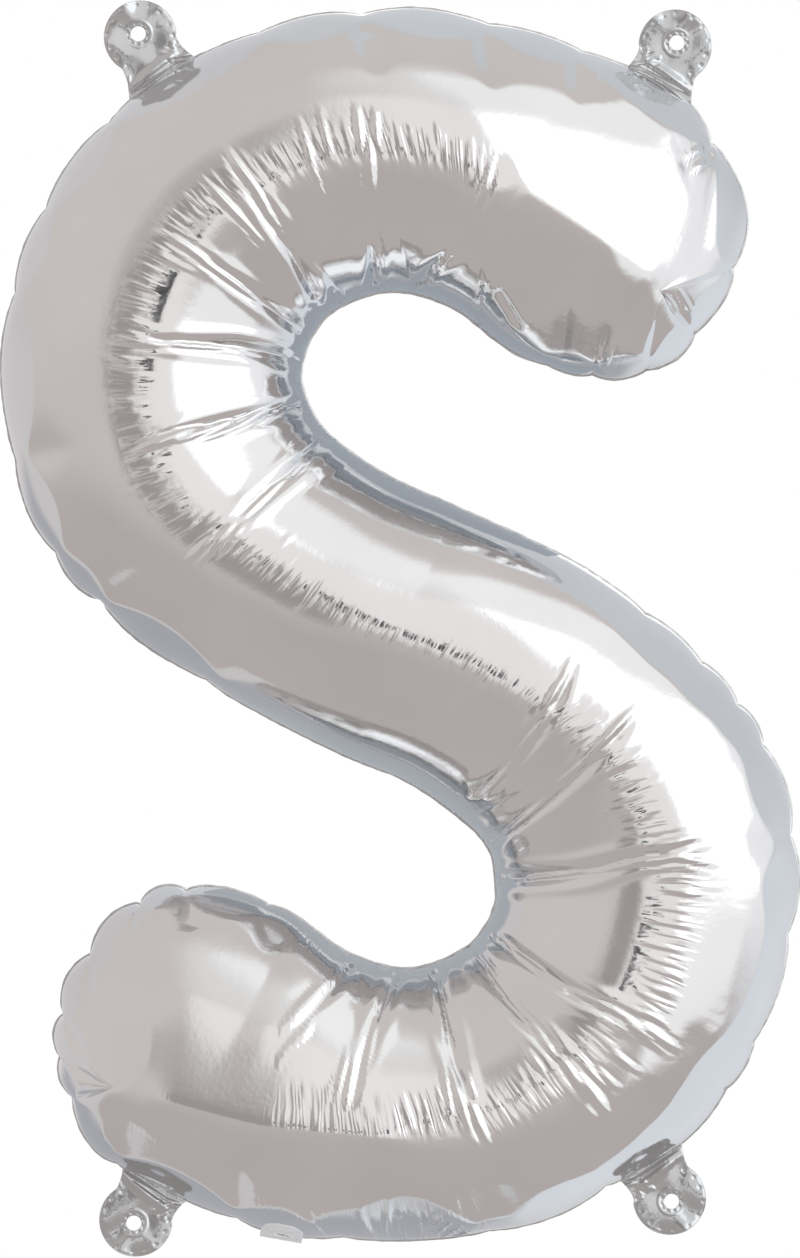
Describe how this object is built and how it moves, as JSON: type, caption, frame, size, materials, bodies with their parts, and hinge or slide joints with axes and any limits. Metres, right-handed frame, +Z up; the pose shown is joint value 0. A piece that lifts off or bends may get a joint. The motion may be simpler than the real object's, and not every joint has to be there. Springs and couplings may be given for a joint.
{
  "type": "letter foil balloon",
  "caption": "Air-filled letter S foil balloon with a welded seam, round hanging tabs at its corners and a folded valve tail.",
  "frame": {"origin": "midway between the holes of the two upper hanging tabs, in the plane of the seam, where the letter hangs", "axes": "+Z up, +X to the right as the letter is read, the front panel faces -Y"},
  "size_m": [0.2281, 0.0744, 0.3579],
  "materials": {
    "foil_film": "bright metallised film",
    "welded_film": "satin pressed film",
    "tab_film": "bright creased film",
    "tail_film": "bright creased film"
  },
  "bodies": {
    "envelope": {"front_foil": "foil_film", "back_foil": "foil_film", "seam_flange": "welded_film"},
    "tab_upper_left": {"hanging_tab_upper_left": "tab_film"},
    "tab_upper_right": {"hanging_tab_upper_right": "tab_film"},
    "tab_lower_left": {"hanging_tab_lower_left": "tab_film"},
    "tab_lower_right": {"hanging_tab_lower_right": "tab_film"},
    "tail": {"valve_tail": "tail_film"}
  },
  "joints": [
    {"name": "tab_upper_left_fold", "type": "hinge", "parent": "envelope", "child": "tab_upper_left", "pos_m": [-0.06925, 0, -0.01], "axis": [0.8339, 0, 0.5519], "range_deg": [-60, 60]},
    {"name": "tab_upper_right_fold", "type": "hinge", "parent": "envelope", "child": "tab_upper_right", "pos_m": [0.071, 0, -0.01164], "axis": [0.878, 0, -0.4787], "range_deg": [-60, 60]},
    {"name": "tab_lower_left_fold", "type": "hinge", "parent": "envelope", "child": "tab_lower_left", "pos_m": [-0.07182, 0, -0.32752], "axis": [-0.848, 0, 0.5299], "range_deg": [-60, 60]},
    {"name": "tab_lower_right_fold", "type": "hinge", "parent": "envelope", "child": "tab_lower_right", "pos_m": [0.06876, 0, -0.32134], "axis": [-0.8406, 0, -0.5417], "range_deg": [-60, 60]},
    {"name": "valve_tail_fold", "type": "hinge", "parent": "envelope", "child": "tail", "pos_m": [-0.03617, 0, -0.34184], "axis": [0.9848, 0, -0.1735], "range_deg": [0, 100]}
  ]
}
